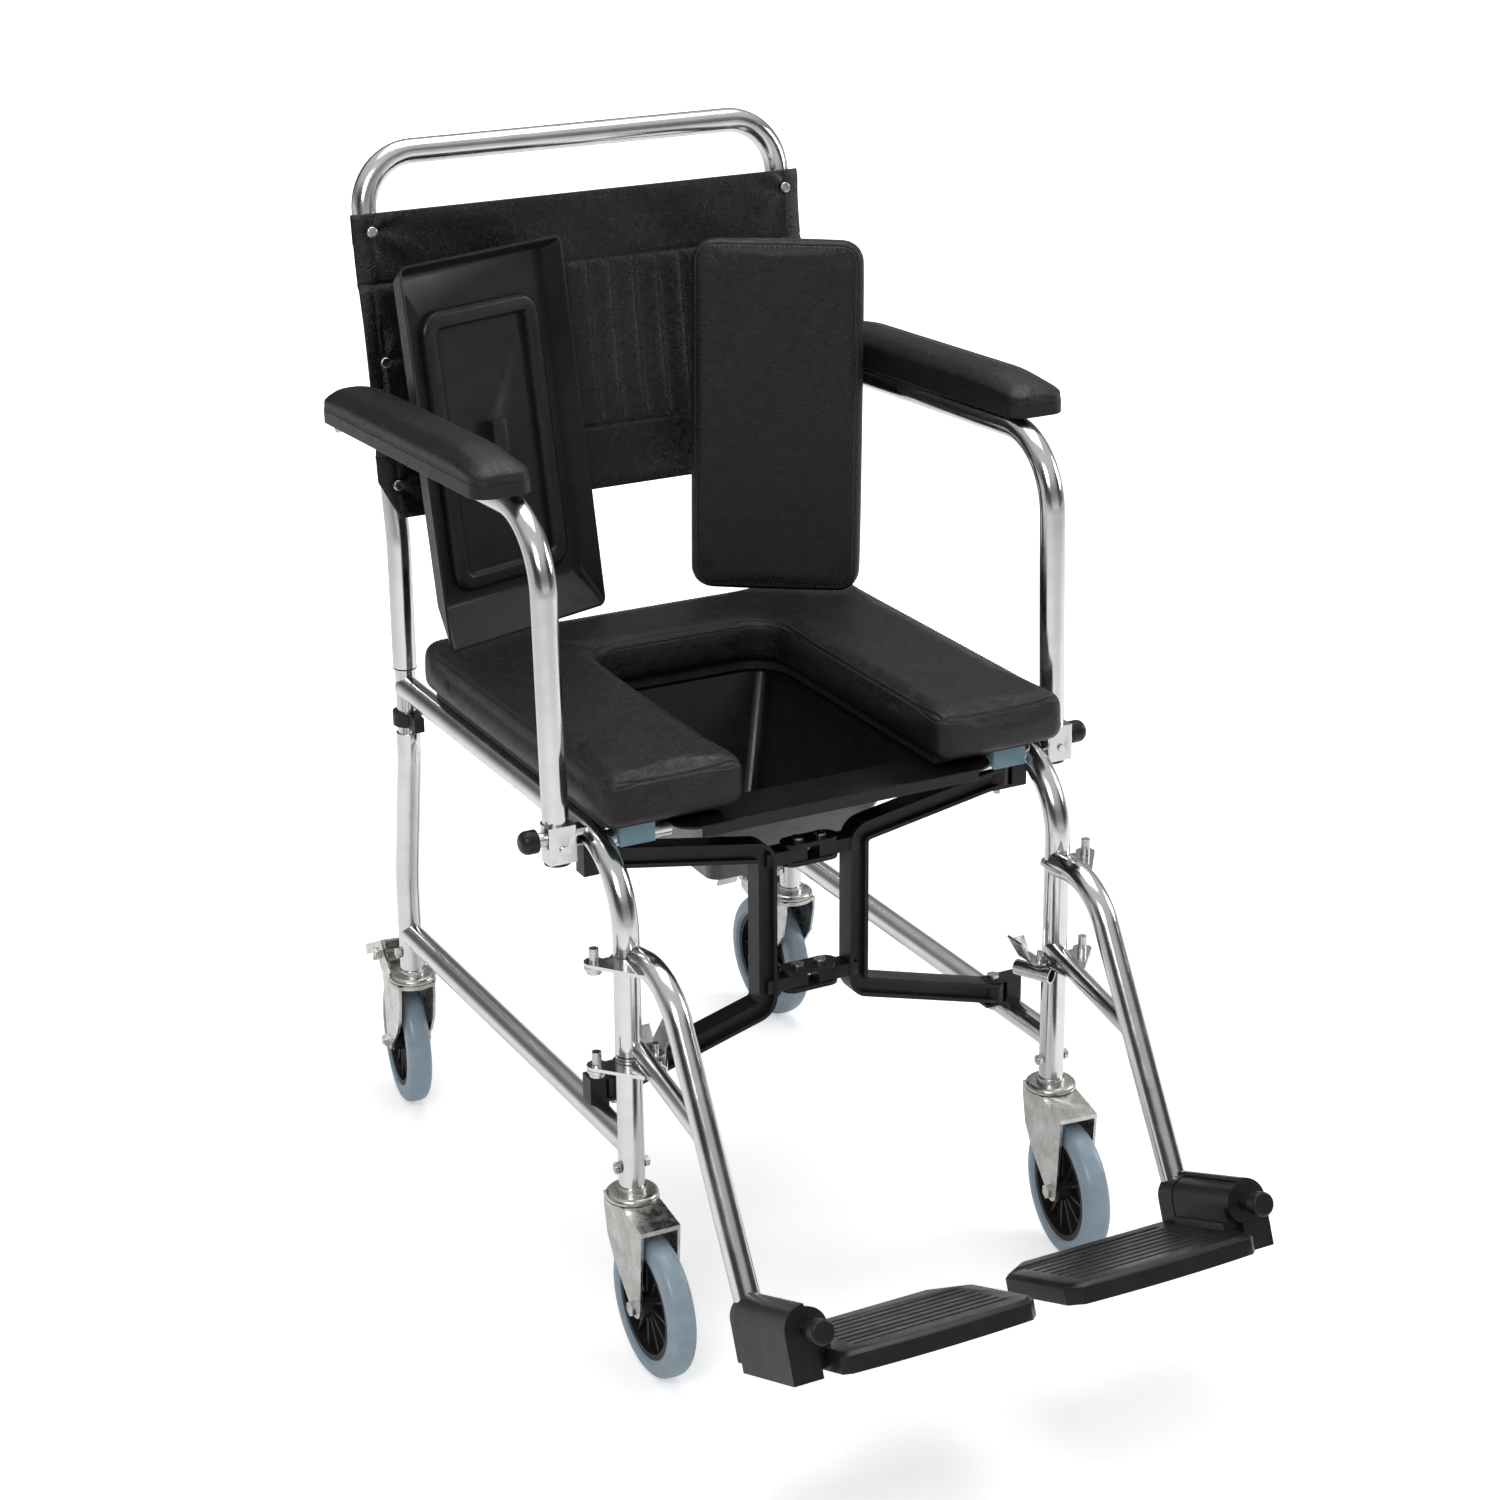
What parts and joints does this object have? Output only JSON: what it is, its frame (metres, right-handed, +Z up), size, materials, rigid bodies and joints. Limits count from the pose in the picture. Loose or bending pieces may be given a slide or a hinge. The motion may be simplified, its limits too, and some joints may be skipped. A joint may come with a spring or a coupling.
{
  "type": "wheelchair",
  "caption": "Attendant-pushed wheelchair on small casters, with a slotted seat over a pan, padded lift-up armrests, swing-away leg rests and a push bar.",
  "frame": {"origin": "on the floor, below the middle of the chair's bounding box", "axes": "+X to the sitter's left, -Y to the front, +Z up"},
  "size_m": [0.558, 0.9602, 0.9471],
  "materials": {
    "chrome": "polished",
    "zinc_plate": "zinc plated",
    "bright_sheet": "bright pressed sheet",
    "tyre_rubber": "grey-blue, satin",
    "hub_plastic": "moulded",
    "fine_vinyl": "fine-grained vinyl",
    "sling_vinyl": "coarse glossy vinyl",
    "black_plastic": "satin moulded",
    "gloss_plastic": "gloss",
    "clip_plastic": "moulded",
    "board": "black laminate"
  },
  "bodies": {
    "frame": {"arm_pivots": "bright_sheet", "back_bow": "chrome", "back_sling": "sling_vinyl", "bow_clips": "black_plastic", "brace_arm_L": "black_plastic", "brace_arm_R": "black_plastic", "brace_bolts": "zinc_plate", "brace_fittings": "black_plastic", "caster_races": "zinc_plate", "front_tube_L": "chrome", "front_tube_R": "chrome", "hanger_ears": "zinc_plate", "leg_bolts": "zinc_plate", "lower_rail_L": "chrome", "lower_rail_R": "chrome", "rear_post_L": "chrome", "rear_post_R": "chrome", "seat_stubs": "chrome", "sling_screws": "zinc_plate"},
    "armrest_L": {"arm_catch_L": "bright_sheet", "arm_pad_L": "fine_vinyl", "arm_trim_L": "black_plastic", "arm_tube_L": "chrome"},
    "armrest_R": {"arm_catch_R": "bright_sheet", "arm_pad_R": "fine_vinyl", "arm_trim_R": "black_plastic", "arm_tube_R": "chrome"},
    "arm_knob_L": {"arm_knob_L": "black_plastic"},
    "arm_knob_R": {"arm_knob_R": "black_plastic"},
    "pedal_RL": {"brake_pedal_RL": "zinc_plate"},
    "pedal_RR": {"brake_pedal_RR": "zinc_plate"},
    "swivel_FL": {"caster_fork_FL": "zinc_plate"},
    "swivel_FR": {"caster_fork_FR": "zinc_plate"},
    "swivel_RL": {"caster_fork_RL": "zinc_plate"},
    "swivel_RR": {"caster_fork_RR": "zinc_plate"},
    "wheel_FL": {"caster_hub_FL": "hub_plastic", "caster_tyre_FL": "tyre_rubber"},
    "wheel_FR": {"caster_hub_FR": "hub_plastic", "caster_tyre_FR": "tyre_rubber"},
    "wheel_RL": {"caster_hub_RL": "hub_plastic", "caster_tyre_RL": "tyre_rubber"},
    "wheel_RR": {"caster_hub_RR": "hub_plastic", "caster_tyre_RR": "tyre_rubber"},
    "hanger_L": {"foot_rod_L": "black_plastic", "hanger_L": "chrome", "heel_block_L": "black_plastic"},
    "hanger_R": {"foot_rod_R": "black_plastic", "hanger_R": "chrome", "heel_block_R": "black_plastic"},
    "footplate_L": {"footplate_L": "black_plastic"},
    "footplate_R": {"footplate_R": "black_plastic"},
    "insert": {"insert_cushion": "fine_vinyl"},
    "latch_L": {"latch_lever_L": "zinc_plate"},
    "latch_R": {"latch_lever_R": "zinc_plate"},
    "pan": {"pan": "gloss_plastic"},
    "lid": {"pan_lid": "black_plastic"},
    "seat": {"seat_board": "board", "seat_clips": "clip_plastic", "seat_cushion": "fine_vinyl"}
  },
  "joints": [
    {"name": "swivel_FL", "type": "hinge", "parent": "frame", "child": "swivel_FL", "pos_m": [0.2083, -0.14072, 0.1], "axis": [0, 0, 1], "continuous": true},
    {"name": "wheel_FL", "type": "hinge", "parent": "swivel_FL", "child": "wheel_FL", "pos_m": [0.20412, -0.1805, 0.0635], "axis": [-0.9945, 0.1045, 0], "continuous": true},
    {"name": "swivel_FR", "type": "hinge", "parent": "frame", "child": "swivel_FR", "pos_m": [-0.2083, -0.14072, 0.1], "axis": [0, 0, 1], "continuous": true},
    {"name": "wheel_FR", "type": "hinge", "parent": "swivel_FR", "child": "wheel_FR", "pos_m": [-0.209, -0.18071, 0.0635], "axis": [-0.9998, 0.0175, 0], "continuous": true},
    {"name": "swivel_RL", "type": "hinge", "parent": "frame", "child": "swivel_RL", "pos_m": [0.2083, 0.34828, 0.1], "axis": [0, 0, 1], "continuous": true},
    {"name": "wheel_RL", "type": "hinge", "parent": "swivel_RL", "child": "wheel_RL", "pos_m": [0.20621, 0.38823, 0.0635], "axis": [0.9986, 0.0523, 0], "continuous": true},
    {"name": "brake_RL", "type": "hinge", "parent": "swivel_RL", "child": "pedal_RL", "pos_m": [0.20505, 0.4102, 0.149], "axis": [-0.9986, -0.0523, 0], "range_deg": [0, 8]},
    {"name": "swivel_RR", "type": "hinge", "parent": "frame", "child": "swivel_RR", "pos_m": [-0.2083, 0.34828, 0.1], "axis": [0, 0, 1], "continuous": true},
    {"name": "wheel_RR", "type": "hinge", "parent": "swivel_RR", "child": "wheel_RR", "pos_m": [-0.20204, 0.38779, 0.0635], "axis": [0.9877, -0.1564, 0], "continuous": true},
    {"name": "brake_RR", "type": "hinge", "parent": "swivel_RR", "child": "pedal_RR", "pos_m": [-0.1986, 0.40952, 0.149], "axis": [-0.9877, 0.1564, 0], "range_deg": [0, 8]},
    {"name": "armrest_L", "type": "hinge", "parent": "frame", "child": "armrest_L", "pos_m": [0.24, 0.34336, 0.705], "axis": [-1, 0, 0], "range_deg": [0, 100]},
    {"name": "arm_knob_L", "type": "slide", "parent": "armrest_L", "child": "arm_knob_L", "axis": [1, 0, 0], "range_m": [0, 0.008], "stiffness_N_per_m": 400, "springref_m": -0.004},
    {"name": "hanger_L", "type": "hinge", "parent": "frame", "child": "hanger_L", "pos_m": [0.2375, -0.14072, 0.272], "axis": [0, 0, 1], "range_deg": [0, 90]},
    {"name": "latch_L", "type": "hinge", "parent": "hanger_L", "child": "latch_L", "pos_m": [0.1873, -0.14872, 0.277], "axis": [0, 0, 1], "range_deg": [0, 30], "stiffness_Nm_per_rad": 0.2, "springref_deg": -11.46},
    {"name": "footplate_L", "type": "hinge", "parent": "hanger_L", "child": "footplate_L", "pos_m": [0.2033, -0.34872, 0.1384], "axis": [0, 0.9272, -0.3746], "range_deg": [0, 92]},
    {"name": "armrest_R", "type": "hinge", "parent": "frame", "child": "armrest_R", "pos_m": [-0.24, 0.34336, 0.705], "axis": [-1, 0, 0], "range_deg": [0, 100]},
    {"name": "arm_knob_R", "type": "slide", "parent": "armrest_R", "child": "arm_knob_R", "axis": [-1, 0, 0], "range_m": [0, 0.008], "stiffness_N_per_m": 400, "springref_m": -0.004},
    {"name": "hanger_R", "type": "hinge", "parent": "frame", "child": "hanger_R", "pos_m": [-0.2375, -0.14072, 0.272], "axis": [0, 0, -1], "range_deg": [0, 90]},
    {"name": "latch_R", "type": "hinge", "parent": "hanger_R", "child": "latch_R", "pos_m": [-0.1873, -0.14872, 0.277], "axis": [0, 0, -1], "range_deg": [0, 30], "stiffness_Nm_per_rad": 0.2, "springref_deg": -11.46},
    {"name": "footplate_R", "type": "hinge", "parent": "hanger_R", "child": "footplate_R", "pos_m": [-0.2033, -0.34872, 0.1384], "axis": [0, -0.9272, 0.3746], "range_deg": [0, 92]},
    {"name": "seat_lift", "type": "slide", "parent": "frame", "child": "seat", "axis": [0, 0, 1], "range_m": [0, 0.12]},
    {"name": "pan_slide", "type": "slide", "parent": "frame", "child": "pan", "axis": [0, 1, 0], "range_m": [0, 0.38]},
    {"name": "lid_lift", "type": "slide", "parent": "seat", "child": "lid", "axis": [0, 0, 1], "range_m": [0, 0.15]},
    {"name": "insert_lift", "type": "slide", "parent": "seat", "child": "insert", "axis": [0, 0, 1], "range_m": [0, 0.15]}
  ]
}
